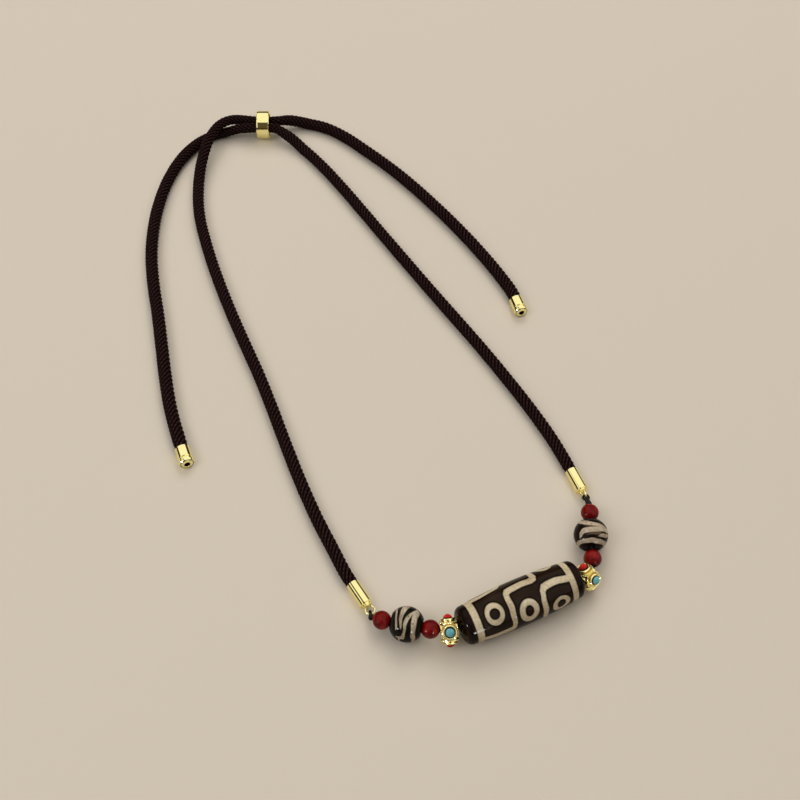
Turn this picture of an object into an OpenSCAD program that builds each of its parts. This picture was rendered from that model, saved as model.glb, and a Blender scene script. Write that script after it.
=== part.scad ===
// Dzi bead necklace, laid out flat.
// The long bead lies along X, the slider is at +Y, +Z is up, and Z = 0 is
// the surface that the necklace lies on.

/* [Long dzi bead] */
// Length of the barrel bead
dzi_len = 40.8; // [39:0.2:41]
// Diameter at its middle
dzi_dia = 14.2; // [12:0.2:14.4]
// Diameter where the end rounding starts
dzi_shoulder_dia = 12.2; // [11:0.1:12.4]
// Radius of the end rounding
dzi_end_round = 1.9; // [1:0.1:2.2]
// How far the end faces are domed
dzi_dome = 0.3; // [0.2:0.05:0.4]
// Thread hole
dzi_hole_dia = 2.5; // [2.4:0.1:2.8]

/* [Round beads] */
// Diameter of the striped round beads
round_dia = 11; // [10:0.1:11]
// Length of the striped round beads between their flat poles
round_len = 9.6; // [9:0.1:10]
// Diameter of the red beads
red_dia = 5.8; // [5:0.1:5.8]
// Length of the red beads between their flat poles
red_len = 5.4; // [5.2:0.1:5.6]
// Thread hole of the round and red beads
bead_hole_dia = 1.8; // [1.7:0.1:2]

/* [Spacers] */
// Length of the tube of a spacer along the thread
spacer_len = 5.1; // [4.5:0.1:5.2]
// Diameter of that tube
spacer_core_dia = 4.6; // [4:0.1:5]
// Bore of that tube
spacer_hole_dia = 2.6; // [2.4:0.1:2.8]
// Diameter of the round base under each bezel cup
base_dia = 5.3; // [4.8:0.1:5.4]
// Distance from the thread to the top of that base
base_reach = 2.9; // [2.6:0.1:3]
// Outer diameter of a bezel cup
bezel_dia = 4; // [3.6:0.1:4.2]
// Distance from the thread to the lip of a bezel cup
bezel_reach = 3.8; // [3.6:0.1:4]
// Diameter of a cabochon
stone_dia = 2.8; // [2.4:0.1:2.9]
// Distance from the thread to the top of a cabochon
stone_reach = 5; // [4.7:0.1:5]

/* [Cord ends] */
// Diameter of the braided cord
cord_dia = 4; // [3.6:0.1:4]
// Diameter of its free tails, where the braid is looser
tail_cord_dia = 4.4; // [4:0.1:4.4]
// Outer diameter of the two gold cord ends at the beads
cap_dia = 4.3; // [4.2:0.1:4.6]
// Wall of the gold cord ends
cap_wall = 0.35; // [0.3:0.05:0.4]
// Length of the two cord ends that hold the bead string
cap_len = 8.3; // [7.9:0.1:8.6]
// Outer diameter of the soldered ring
loop_dia = 3.6; // [3.2:0.1:4]
// Wire of the soldered ring
loop_wire = 0.65; // [0.6:0.05:0.7]
// Outer diameter of the two tail caps
tail_dia = 5.1; // [5.1:0.1:5.4]
// Length of the two tail caps
tail_len = 6.7; // [6.6:0.1:7.5]
// Hole in the end of a tail cap
tail_hole_dia = 2.1; // [1:0.1:2.2]

/* [Slider] */
// Outer diameter of the gold band
slider_dia = 11.2; // [11:0.1:12]
// Width of the gold band along the cords
slider_w = 5.4; // [5:0.1:6]
// Wall of the gold band
slider_wall = 1.1; // [0.9:0.1:1.2]
// Slot in the rubber filling: width and height
slot_w = 8.4; // [8.3:0.1:8.6]
// Height of that slot
slot_h = 4.3; // [4.2:0.1:4.5]

/* [Thread] */
// Diameter of the thread that carries the beads
thread_dia = 0.9; // [0.8:0.05:0.95]
// Diameter of the wrapped knots at its ends
knot_dia = 1.9; // [1.6:0.1:2]

/* [Hidden] */

// Small gap between touching pieces
gap = 0.05;
// The point of the layout, measured from the middle of the long bead, that
// is the origin: the middle of the loop
org = [-1.2, 118.9, 0];

// ---- layout of the bead string, from the middle of the long bead -------
// columns: x, y, z of the centre, direction of its hole in the plan, and
// how far that hole tips up (degrees), pointing away from the long bead
barrel_pos = [-0.15, 0, dzi_dia/2];
spacer_l = [-23.75, 1, 6.2, 161, -3];
red_il   = [-28.5, 3.95, 5.8, 141, -4];
round_l  = [-34.25, 8.5, round_dia/2, 141, 0];
red_ol   = [-40.3, 13.3, 4.6, 138, -10];
spacer_r = [23.6, -0.4, 5.4, 18, 0];
red_ir   = [28.6, 4.55, 5.3, 61, 0];
round_r  = [32.4, 12.05, round_dia/2, 62, 0];
red_or   = [36.3, 19.3, 5.6, 62, -6];
// roll of each spacer: the angle of its first bezel from upright
roll_l = 35;
roll_r = -56;

// ---- cord ends: x, y of the mouth, direction from mouth to closed end --
cap_z = cap_dia/2;
tail_z = tail_dia/2;
cap_l  = [-42.9, 29.4, 277];
cap_r  = [40.5, 37.65, 266];
tail_r = [60, 112.2, 261];
tail_l = [-74.45, 99.6, 266];
// centre of each soldered ring: the left one lies flat, the right one
// stands upright, in line with its cord end
ring_l = [-41.55, 19.3, 1.6];
ring_r = [39.75, 27.95, cap_z];

// ---- slider: centre and direction of its axis --------------------------
slider_pos = [9.2, 238.9, slider_dia/2];
slider_dir = -24.5;
// half the distance between the two cords in the slider
pair = (cord_dia + 0.16)/2;

// ---- cord routes -------------------------------------------------------
// A point at distance s along a cord end, from its mouth towards its
// closed end
function along(c, s, z) = [c[0] + s*cos(c[2]), c[1] + s*sin(c[2]), z];
// A point in the slider: s along its axis, t across it
function in_slider(s, t) = [
  slider_pos[0] + s*cos(slider_dir) - t*sin(slider_dir),
  slider_pos[1] + s*sin(slider_dir) + t*cos(slider_dir),
  slider_pos[2]];

// Route of cord A: up the left side, over cord B, through the far side of
// the slider, down to the right tail
route_a = concat(
  [along(cap_l, -4, 2.1), [-43.6, 43, 2], [-43.8, 56, 2], [-43.2, 72, 2],
   [-42, 88, 2], [-40.6, 104, 2], [-39.5, 120, 2], [-38.9, 137, 2],
   [-38, 155, 2], [-36.6, 172, 2], [-34.6, 188, 2], [-32.1, 202, 2],
   [-28.3, 214.5, 2.1], [-23.7, 225, 3.5], [-18.5, 233.5, 5.5],
   [-13.2, 240.1, 6.7], [-7.2, 244.9, 6.8], [-1.5, 246.2, 6.2]],
  [in_slider(-5.5, pair+0.4), in_slider(-2.7, pair), in_slider(2.7, pair),
   in_slider(6, pair+0.3)],
  [[20.6, 238.4, 4.3], [27, 235.6, 2.7], [33, 230.4, 2], [38.2, 222, 2],
   [43, 210, 2], [47.6, 197, 2], [51.3, 184, 2], [54.4, 170, 2],
   [57, 156, 2], [59, 142, 2], [60.3, 128, 2], along(tail_r, -4, 2.4)]);

// Route of cord B: up the right side, through the near side of the slider,
// under cord A, down to the left tail
route_b = concat(
  [along(cap_r, -4, 2.1), [41.1, 52, 2], [40.6, 66, 2], [39.4, 81, 2],
   [37.7, 97, 2], [35.6, 113, 2], [33.4, 129, 2], [31.4, 145, 2],
   [29.4, 161, 2], [27.5, 177, 2], [25.5, 193, 2], [23.3, 207, 2],
   [20.6, 219, 2.1], [17.6, 228, 3.4], [14.6, 232.8, 4.9]],
  [in_slider(5.2, -pair-0.3), in_slider(2.7, -pair), in_slider(-2.7, -pair),
   in_slider(-5.2, -pair-0.1)],
  [[-0.6, 242, 4.3], [-5, 244.1, 2.6], [-10, 244.9, 2], [-15.5, 243.9, 2],
   [-21, 241.3, 2], [-28.5, 235.6, 2], [-37, 226.2, 2], [-45, 214, 2],
   [-51, 202, 2], [-56, 189, 2], [-59.8, 175, 2], [-63, 160, 2],
   [-66.3, 146, 2], [-69.6, 132, 2], [-72.6, 117, 2],
   along(tail_l, -4, 2.4)]);

// ---- sweeping a tube along a route -------------------------------------
function unit(v) = v/norm(v);
// Direction of the route at point i
function dir_at(p, i) = unit(p[min(i + 1, len(p) - 1)] - p[max(i - 1, 0)]);
// One ring of n points of radius r, square to the route, its first point
// level with the centre
function ring_at(p, i, r, n) =
  let (d = dir_at(p, i), s = unit(cross([0, 0, 1], d)), u = cross(d, s))
  [for (k = [0:n - 1]) p[i] + r*(cos(360*k/n)*s + sin(360*k/n)*u)];
// A tube whose radius at point i is radii[i]
module swept(p, radii, n) {
  rings = len(p);
  pts = [for (i = [0:rings - 1]) each ring_at(p, i, radii[i], n)];
  side = [for (i = [0:rings - 2], k = [0:n - 1])
    let (a = i*n + k, b = i*n + (k + 1)%n) [a, a + n, b + n, b]];
  first = [[for (k = [0:n - 1]) k]];
  last = [[for (k = [n - 1:-1:0]) (rings - 1)*n + k]];
  polyhedron(pts, concat(side, first, last), convexity = 10);
}

// A cord: its route, and the plain ends that go into the two metal caps
plug_r = cap_dia/2 - cap_wall - 0.08;
tail_plug_r = tail_dia/2 - cap_wall - 0.08;
function cord_route(c0, route, c1) = concat(
  [along(c0, 5.5, cap_z), along(c0, -0.1, cap_z), along(c0, -0.7, cap_z)],
  route,
  [along(c1, -0.7, tail_z), along(c1, -0.1, tail_z), along(c1, 4, tail_z)]);
// The last 'loose' points of the route have the wider tail diameter
function cord_radii(n, loose) = [for (i = [0:n - 1])
  i < 2 ? plug_r : i > n - 3 ? tail_plug_r
  : cord_dia/2 + (tail_cord_dia - cord_dia)/2*max(0, min(1, (i - n + loose)/2))];
// Each point is high enough for its radius to rest on the surface
module cord(c0, route, c1, loose) {
  p = cord_route(c0, route, c1);
  r = cord_radii(len(p), loose);
  translate(-org) swept([for (i = [0:len(p) - 1])
    [p[i][0], p[i][1], max(p[i][2], r[i])]], r, 12);
}

module cord_a() {
  color([0.09, 0.05, 0.05]) cord(cap_l, route_a, tail_r, 13);
}
module cord_b() {
  color([0.09, 0.05, 0.05]) cord(cap_r, route_b, tail_l, 14);
}

// ---- beads -------------------------------------------------------------
// Turns a shape modelled along X round to a bead's place and direction
module at_bead(b) {
  translate([b[0], b[1], b[2]] - org) rotate([0, 0, b[3]])
    rotate([0, -b[4], 0]) children();
}
// The same with +Z of the shape along the thread
module on_thread(b) { at_bead(b) rotate([0, 90, 0]) children(); }

// Half outline of the long bead: radius and distance from its middle
function barrel_side(n) = [for (i = [0:n])
  let (t = i/n, x = t*(dzi_len/2 - dzi_end_round - dzi_dome))
  [dzi_dia/2 - (dzi_dia - dzi_shoulder_dia)/2*t*t, x]];
function barrel_end(n) = [for (i = [1:n])
  let (a = 90*i/n)
  [dzi_shoulder_dia/2 - dzi_end_round*(1 - cos(a)),
   dzi_len/2 - dzi_dome - dzi_end_round + dzi_end_round*sin(a)]];
// The slightly domed end face, from its rim to the thread hole
function barrel_face(n) = let (r = dzi_shoulder_dia/2 - dzi_end_round)
  [for (i = [1:n]) let (q = r*(1 - i/n))
  [q, dzi_len/2 - dzi_dome*q*q/(r*r)]];
module barrel_outline() {
  half = concat(barrel_side(8), barrel_end(6), barrel_face(3));
  down = [for (i = [len(half) - 1:-1:1]) [half[i][0], -half[i][1]]];
  polygon(concat(down, half));
}
module dzi_barrel() {
  color([0.16, 0.11, 0.09]) translate(barrel_pos - org)
    rotate([0, 90, 0]) difference() {
      rotate_extrude($fn = 96) barrel_outline();
      cylinder(d = dzi_hole_dia, h = dzi_len + 2, center = true, $fn = 48);
    }
}

// A striped round bead: a sphere with flat poles and a countersunk hole
module round_bead() {
  seat = 1.8;
  difference() {
    intersection() {
      sphere(d = round_dia, $fn = 96);
      cube([round_dia + 2, round_dia + 2, round_len], center = true);
    }
    cylinder(d = bead_hole_dia, h = round_len + 2, center = true, $fn = 48);
    for (m = [0, 1]) mirror([0, 0, m]) translate([0, 0, round_len/2 - 0.6])
      cylinder(r1 = bead_hole_dia/2, r2 = seat + 0.15, h = 0.7, $fn = 48);
  }
}
module dzi_round_left() {
  color([0.18, 0.14, 0.12]) on_thread(round_l) round_bead();
}
module dzi_round_right() {
  color([0.18, 0.14, 0.12]) on_thread(round_r) round_bead();
}

// A red bead: a drilled sphere with small flats at its poles
module red_bead(b) {
  color([0.42, 0.03, 0.03]) on_thread(b) difference() {
    intersection() {
      sphere(d = red_dia, $fn = 64);
      cube([red_dia + 2, red_dia + 2, red_len], center = true);
    }
    cylinder(d = bead_hole_dia, h = red_dia + 2, center = true, $fn = 40);
  }
}
module red_outer_left() { red_bead(red_ol); }
module red_inner_left() { red_bead(red_il); }
module red_inner_right() { red_bead(red_ir); }
module red_outer_right() { red_bead(red_or); }

// ---- spacers -----------------------------------------------------------
// Stands a shape made along +Z up on bezel k of a spacer
module on_bezel(b, roll, k) {
  at_bead(b) rotate([-(roll + 90*k), 0, 0]) children();
}
stone_seat = stone_dia/2 + 0.12;
// A tube with four round bases, each with a bezel cup. Neighbouring bases
// run into each other between the cups.
module spacer(b, roll) {
  color([0.86, 0.66, 0.25]) difference() {
    union() {
      on_thread(b) cylinder(d = spacer_core_dia, h = spacer_len,
        center = true, $fn = 64);
      for (k = [0:3]) on_bezel(b, roll, k) {
        translate([0, 0, base_reach - 0.7])
          cylinder(d = base_dia, h = 0.7, $fn = 64);
        translate([0, 0, 1.4])
          cylinder(d = bezel_dia, h = bezel_reach - 1.4, $fn = 48);
      }
    }
    for (k = [0:3]) on_bezel(b, roll, k)
      translate([0, 0, bezel_reach - 0.8])
        cylinder(r = stone_seat, h = 1.2, $fn = 48);
    on_thread(b) cylinder(d = spacer_hole_dia, h = spacer_len + 2,
      center = true, $fn = 40);
  }
}
module spacer_left() { spacer(spacer_l, roll_l); }
module spacer_right() { spacer(spacer_r, roll_r); }

// A cabochon: a short post with a domed top
module stone(b, roll, k) {
  base = bezel_reach - 0.8 + gap;
  rise = stone_reach - bezel_reach - 0.05;
  r = stone_dia/2;
  ball = (r*r + rise*rise)/(2*rise);
  on_bezel(b, roll, k) {
    intersection() {
      translate([0, 0, base]) cylinder(r = r, h = stone_reach - base + 1,
        $fn = 48);
      translate([0, 0, stone_reach - ball]) sphere(r = ball, $fn = 64);
      translate([-3, -3, base]) cube([6, 6, 4]);
    }
  }
}
module coral(b, roll, k) { color([0.75, 0.1, 0.07]) stone(b, roll, k); }
module turquoise(b, roll, k) { color([0.25, 0.62, 0.63]) stone(b, roll, k); }
module turquoise_left_front() { turquoise(spacer_l, roll_l, 0); }
module coral_left_front() { coral(spacer_l, roll_l, 1); }
module turquoise_left_under() { turquoise(spacer_l, roll_l, 2); }
module coral_left_top() { coral(spacer_l, roll_l, 3); }
module turquoise_right_front() { turquoise(spacer_r, roll_r, 0); }
module coral_right_top() { coral(spacer_r, roll_r, 1); }
module turquoise_right_under() { turquoise(spacer_r, roll_r, 2); }
module coral_right_under() { coral(spacer_r, roll_r, 3); }

// ---- thread ------------------------------------------------------------
// A point on the axis of a bead's hole, s from its centre
function hole_pt(b, s) = [b[0] + s*cos(b[3])*cos(b[4]),
  b[1] + s*sin(b[3])*cos(b[4]), b[2] + s*sin(b[4])];
// The thread hangs in the wide bores: it sags below the axis of the long
// bead and rides above the axis of the right spacer
thread_pts = concat(
  [for (s = [2.3, -2.6]) hole_pt(red_ol, s)],
  [for (s = [4.9, -4.9]) hole_pt(round_l, s)],
  [for (s = [2.7, -2.7]) hole_pt(red_il, s)],
  [hole_pt(spacer_l, 2.6), hole_pt(spacer_l, -2.2) + [0, 0, 0.3]],
  [barrel_pos + [-19.8, 0.1, -0.45], barrel_pos + [19.6, 0.03, -0.22]],
  [hole_pt(spacer_r, -2.4) + [0, 0.1, 0.52], hole_pt(spacer_r, 2.4)],
  [for (s = [-2.7, 2.7]) hole_pt(red_ir, s)],
  [for (s = [-4.9, 4.9]) hole_pt(round_r, s)],
  [for (s = [-2.6, 2.3]) hole_pt(red_or, s)]);
module bead_thread() {
  color([0.03, 0.03, 0.03]) translate(-org)
    swept(thread_pts, [for (p = thread_pts) thread_dia/2], 8);
}

// A knot against the outer red bead, a thick wrapped lead, and the loop
// round the wire of the soldered ring. The loop is centred on that wire.
loop_r = 0.9;
module thread_knot(bead, ring, stand) {
  start = hole_pt(bead, red_len/2 + 0.65);
  away = unit([start[0] - ring[0], start[1] - ring[1], 0]);
  // an upright ring meets the loop in line with its cord end
  out = stand == 0 ? away : [cos(cap_r[2]), sin(cap_r[2]), 0];
  eye = ring + (loop_dia - loop_wire)/2*out;
  v = eye - start;
  az = atan2(v[1], v[0]);
  el = atan2(v[2], norm([v[0], v[1]]));
  color([0.03, 0.03, 0.03]) translate(-org) {
    translate(start) rotate([0, 90 - el, az])
      cylinder(d1 = knot_dia - 0.8, d2 = knot_dia, h = 0.5, $fn = 40);
    translate(start) rotate([0, 90 - el, az]) translate([0, 0, 0.5])
      cylinder(d1 = knot_dia, d2 = 1.3, h = norm(v) - loop_r - 0.6,
        $fn = 40);
    translate(eye) rotate([0, stand == 0 ? -el : 0, az])
      rotate([90 - stand, 0, 0])
        rotate_extrude($fn = 48) translate([loop_r, 0])
          circle(d = thread_dia, $fn = 32);
  }
}
module thread_knot_left() { thread_knot(red_ol, ring_l, 0); }
module thread_knot_right() { thread_knot(red_or, ring_r, 90); }

// ---- metal cord ends ---------------------------------------------------
// Places a shape made along +Z, mouth at Z = 0, on a cord end at height z
module at_cap(c, z) {
  translate([c[0], c[1], z] - org) rotate([0, 0, c[2]])
    rotate([0, 90, 0]) children();
}
// A tube with a thick end: half outline of its outside near that end, and
// the radius of a hole through it
module cap_shell(len, dia, outside, hole) {
  r = dia/2;
  ri = r - cap_wall;
  rotate_extrude($fn = 72) polygon(concat(
    [[ri, 0], [r - 0.08, 0], [r, 0.08]],
    [for (q = outside) [r - q[0], len - q[1]]],
    [[hole, len], [hole, len - 2.3], [ri, len - 2.3]]));
}
// Depth below the tube's outside and distance from its end: a plain end
// with an eased edge, and one with a groove and a round collar
plain_end = [[0, 0.22], [0.08, 0.06], [0.25, 0]];
collar_end = [[0, 2.3], [0.12, 2.15], [0.3, 2.05], [0.3, 1.85], [0.12, 1.75],
  [0, 1.55], [0, 1.1], [0.1, 0.7], [0.3, 0.36], [0.6, 0.12], [1, 0]];
// The tube, a short stepped neck on its closed end, and the ring soldered
// to it; 'stand' is how far the ring is turned up about the line of the tube
module end_cap(c, ring, stand) {
  color([0.9, 0.74, 0.34]) {
    at_cap(c, cap_z) cap_shell(cap_len, cap_dia, plain_end, 0);
    at_cap(c, cap_z) translate([0, 0, cap_len - 0.1]) {
      cylinder(r = 1.6, h = 0.55, $fn = 48);
      cylinder(r = 1.15, h = 1, $fn = 48);
    }
    translate(ring - org) rotate([0, 0, c[2]]) rotate([stand, 0, 0])
      rotate_extrude($fn = 64) translate([(loop_dia - loop_wire)/2, 0])
        circle(d = loop_wire, $fn = 32);
  }
}
module end_cap_left() { end_cap(cap_l, ring_l, 0); }
module end_cap_right() { end_cap(cap_r, ring_r, 90); }
module tail_cap(c) {
  color([0.9, 0.74, 0.34]) at_cap(c, tail_z)
    cap_shell(tail_len, tail_dia, collar_end, tail_hole_dia/2);
}
module tail_cap_left() { tail_cap(tail_l); }
module tail_cap_right() { tail_cap(tail_r); }

// ---- slider ------------------------------------------------------------
module at_slider() {
  translate(slider_pos - org) rotate([0, 0, slider_dir])
    rotate([0, 90, 0]) children();
}
module slider_ring() {
  r = slider_dia/2;
  ri = r - slider_wall;
  h = slider_w/2;
  color([0.9, 0.74, 0.34]) at_slider() rotate_extrude($fn = 96)
    polygon([[ri, -h + 0.15], [ri + 0.2, -h], [r - 0.65, -h],
      [r - 0.3, -h + 0.12], [r - 0.1, -h + 0.35], [r - 0.02, -h + 0.75],
      [r, -h + 1.2], [r, h - 1.2], [r - 0.02, h - 0.75],
      [r - 0.1, h - 0.35], [r - 0.3, h - 0.12], [r - 0.65, h],
      [ri + 0.2, h], [ri, h - 0.15]]);
}
module slider_insert() {
  d = slider_dia - 2*slider_wall - 2*gap;
  color([0.05, 0.05, 0.05]) at_slider() difference() {
    cylinder(d = d, h = slider_w - 0.7, center = true, $fn = 72);
    linear_extrude(slider_w + 2, center = true) {
      for (s = [-1, 1]) translate([0, s*(slot_w - slot_h)/2])
        circle(d = slot_h, $fn = 48);
      square([slot_h, slot_w - slot_h], center = true);
    }
  }
}

dzi_barrel();
dzi_round_left();
dzi_round_right();
red_outer_left();
red_inner_left();
red_inner_right();
red_outer_right();
spacer_left();
spacer_right();
coral_left_top();
coral_left_front();
turquoise_left_front();
turquoise_left_under();
coral_right_top();
coral_right_under();
turquoise_right_front();
turquoise_right_under();
bead_thread();
thread_knot_left();
thread_knot_right();
end_cap_left();
end_cap_right();
cord_a();
cord_b();
slider_ring();
slider_insert();
tail_cap_left();
tail_cap_right();
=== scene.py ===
import math
import bpy
import numpy as np
from mathutils import Vector, Matrix, noise


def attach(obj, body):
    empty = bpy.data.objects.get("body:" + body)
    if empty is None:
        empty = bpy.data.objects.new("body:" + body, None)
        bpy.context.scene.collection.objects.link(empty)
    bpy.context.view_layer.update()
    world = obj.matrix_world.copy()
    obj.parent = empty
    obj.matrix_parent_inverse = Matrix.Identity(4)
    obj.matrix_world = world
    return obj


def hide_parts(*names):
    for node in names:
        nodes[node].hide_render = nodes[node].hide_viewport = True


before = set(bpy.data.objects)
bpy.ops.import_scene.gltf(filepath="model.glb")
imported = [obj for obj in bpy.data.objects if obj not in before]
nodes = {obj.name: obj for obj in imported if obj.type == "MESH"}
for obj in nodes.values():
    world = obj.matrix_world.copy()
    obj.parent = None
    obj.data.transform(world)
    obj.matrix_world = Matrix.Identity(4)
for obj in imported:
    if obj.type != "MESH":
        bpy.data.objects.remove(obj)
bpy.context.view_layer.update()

scene = bpy.context.scene

# ---------------------------------------------------------------------------
# Camera: the photograph's viewing angle, a square frame
# ---------------------------------------------------------------------------
cam_data = bpy.data.cameras.new("camera")
cam_data.sensor_width = 36.0
cam_data.lens = 36.0 * 1180.0 / 800.0
cam_data.clip_start = 0.01
cam_data.clip_end = 20.0
cam = bpy.data.objects.new("camera", cam_data)
scene.collection.objects.link(cam)
cam_right = Vector((0.90450, -0.42613, 0.01746)).normalized()
cam_fwd = Vector((0.26811, 0.53631, -0.80030)).normalized()
cam_up = cam_right.cross(cam_fwd).normalized()
m = Matrix.Identity(4)
for i in range(3):
    m[i][0], m[i][1], m[i][2] = cam_right[i], cam_up[i], -cam_fwd[i]
m[0][3], m[1][3], m[2][3] = -0.10789, -0.25120, 0.33100
cam.matrix_world = m
scene.camera = cam

# ---------------------------------------------------------------------------
# The layout of the CAD model, in millimetres from the middle of the long bead
# ---------------------------------------------------------------------------
ORG = np.array([-1.2, 118.9, 0.0])
BARREL = np.array([-0.15, 0.0, 7.1])
SPACER_L = (-23.75, 1, 6.2, 161, -3)
RED_IL = (-28.5, 3.95, 5.8, 141, -4)
ROUND_L = (-34.25, 8.5, 5.5, 141, 0)
RED_OL = (-40.3, 13.3, 4.6, 138, -10)
SPACER_R = (23.6, -0.4, 5.4, 18, 0)
RED_IR = (28.6, 4.55, 5.3, 61, 0)
ROUND_R = (32.4, 12.05, 5.5, 62, 0)
RED_OR = (36.3, 19.3, 5.6, 62, -6)
ROLL_L, ROLL_R = 35, -56
CAP_Z = 2.15
TAIL_Z = 2.55
CAP_L = (-42.9, 29.4, 277)
CAP_R = (40.5, 37.65, 266)
TAIL_R = (60, 112.2, 261)
TAIL_L = (-74.45, 99.6, 266)
RING_L = np.array([-41.55, 19.3, 1.6])
RING_R = np.array([39.75, 27.95, 2.15])
SLIDER = (9.2, 238.9, 5.6)
SLIDER_DIR = -24.5
PAIR = 2.08


def cosd(a):
    return math.cos(math.radians(a))


def sind(a):
    return math.sin(math.radians(a))


def along(c, s, z):
    return [c[0] + s * cosd(c[2]), c[1] + s * sind(c[2]), z]


def in_slider(s, t):
    return [SLIDER[0] + s * cosd(SLIDER_DIR) - t * sind(SLIDER_DIR),
            SLIDER[1] + s * sind(SLIDER_DIR) + t * cosd(SLIDER_DIR), SLIDER[2]]


ROUTE_A = (
    [along(CAP_L, 5.5, CAP_Z), along(CAP_L, -0.1, CAP_Z), along(CAP_L, -0.7, CAP_Z),
     along(CAP_L, -4, 2.1)]
    + [[-43.6, 43, 2], [-43.8, 56, 2], [-43.2, 72, 2], [-42, 88, 2],
       [-40.6, 104, 2], [-39.5, 120, 2], [-38.9, 137, 2], [-38, 155, 2],
       [-36.6, 172, 2], [-34.6, 188, 2], [-32.1, 202, 2], [-28.3, 214.5, 2.1],
       [-23.7, 225, 3.5], [-18.5, 233.5, 5.5], [-13.2, 240.1, 6.7],
       [-7.2, 244.9, 6.8], [-1.5, 246.2, 6.2]]
    + [in_slider(-5.5, PAIR + 0.4), in_slider(-2.7, PAIR), in_slider(2.7, PAIR),
       in_slider(6, PAIR + 0.3)]
    + [[20.6, 238.4, 4.3], [27, 235.6, 2.7], [33, 230.4, 2], [38.2, 222, 2],
       [43, 210, 2], [47.6, 197, 2], [51.3, 184, 2], [54.4, 170, 2],
       [57, 156, 2], [59, 142, 2], [60.3, 128, 2], along(TAIL_R, -4, 2.4)]
    + [along(TAIL_R, -0.7, TAIL_Z), along(TAIL_R, -0.1, TAIL_Z), along(TAIL_R, 4, TAIL_Z)])
ROUTE_B = (
    [along(CAP_R, 5.5, CAP_Z), along(CAP_R, -0.1, CAP_Z), along(CAP_R, -0.7, CAP_Z),
     along(CAP_R, -4, 2.1)]
    + [[41.1, 52, 2], [40.6, 66, 2], [39.4, 81, 2], [37.7, 97, 2],
       [35.6, 113, 2], [33.4, 129, 2], [31.4, 145, 2], [29.4, 161, 2],
       [27.5, 177, 2], [25.5, 193, 2], [23.3, 207, 2], [20.6, 219, 2.1],
       [17.6, 228, 3.4], [14.6, 232.8, 4.9]]
    + [in_slider(5.2, -PAIR - 0.3), in_slider(2.7, -PAIR), in_slider(-2.7, -PAIR),
       in_slider(-5.2, -PAIR - 0.1)]
    + [[-0.6, 242, 4.3], [-5, 244.1, 2.6], [-10, 244.9, 2], [-15.5, 243.9, 2],
       [-21, 241.3, 2], [-28.5, 235.6, 2], [-37, 226.2, 2], [-45, 214, 2],
       [-51, 202, 2], [-56, 189, 2], [-59.8, 175, 2], [-63, 160, 2],
       [-66.3, 146, 2], [-69.6, 132, 2], [-72.6, 117, 2], along(TAIL_L, -4, 2.4)]
    + [along(TAIL_L, -0.7, TAIL_Z), along(TAIL_L, -0.1, TAIL_Z), along(TAIL_L, 4, TAIL_Z)])

# ---------------------------------------------------------------------------
# Mesh helpers. Everything is computed in millimetres and stored in metres.
# ---------------------------------------------------------------------------


def make_mesh(name, verts, faces, material, replaces=(), uv=None, attrs=None,
              place=True, smooth=True):
    """A piece from vertices in the layout's millimetres and a list of faces."""
    v = (np.asarray(verts, float) - (ORG if place else 0)) * 0.001
    me = bpy.data.meshes.new(name)
    me.from_pydata(v.tolist(), [], [list(f) for f in faces])
    me.validate()
    if smooth:
        me.polygons.foreach_set("use_smooth", np.ones(len(me.polygons), bool))
    for key, values in (attrs or {}).items():
        a = me.attributes.new(key, "FLOAT", "POINT")
        a.data.foreach_set("value", np.asarray(values, np.float32))
    if uv is not None:
        layer = me.uv_layers.new(name="strand")
        layer.data.foreach_set("uv", np.asarray(uv, np.float32).ravel())
    me.materials.append(material)
    me.update()
    ob = bpy.data.objects.new(name, me)
    scene.collection.objects.link(ob)
    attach(ob, "root")
    if replaces:
        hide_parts(*replaces)
    return ob


def grid_faces(rows, cols, close_cols=True, close_rows=False, offset=0):
    """Quads of a rows x cols grid of vertices, row after row."""
    out = []
    rr = rows if close_rows else rows - 1
    cc = cols if close_cols else cols - 1
    for i in range(rr):
        a = offset + i * cols
        b = offset + ((i + 1) % rows) * cols
        for k in range(cc):
            k2 = (k + 1) % cols
            out.append((a + k, a + k2, b + k2, b + k))
    return out


def bead_matrix(b):
    """Turns +X of a shape to the direction of a bead's hole."""
    a, t = math.radians(b[3]), math.radians(-b[4])
    rz = np.array([[math.cos(a), -math.sin(a), 0], [math.sin(a), math.cos(a), 0], [0, 0, 1]])
    ry = np.array([[math.cos(t), 0, math.sin(t)], [0, 1, 0], [-math.sin(t), 0, math.cos(t)]])
    return rz @ ry


def lathe(outline, n):
    """Turns a closed outline of (distance along X, radius) round X. The first
    vertex of each row points to +Z and the next ones go towards +Y."""
    o = np.asarray(outline, float)
    ang = np.linspace(0, 2 * np.pi, n, endpoint=False)
    v = np.empty((len(o), n, 3))
    v[:, :, 0] = o[:, 0:1]
    v[:, :, 1] = o[:, 1:2] * np.sin(ang)
    v[:, :, 2] = o[:, 1:2] * np.cos(ang)
    return v.reshape(-1, 3)


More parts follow.
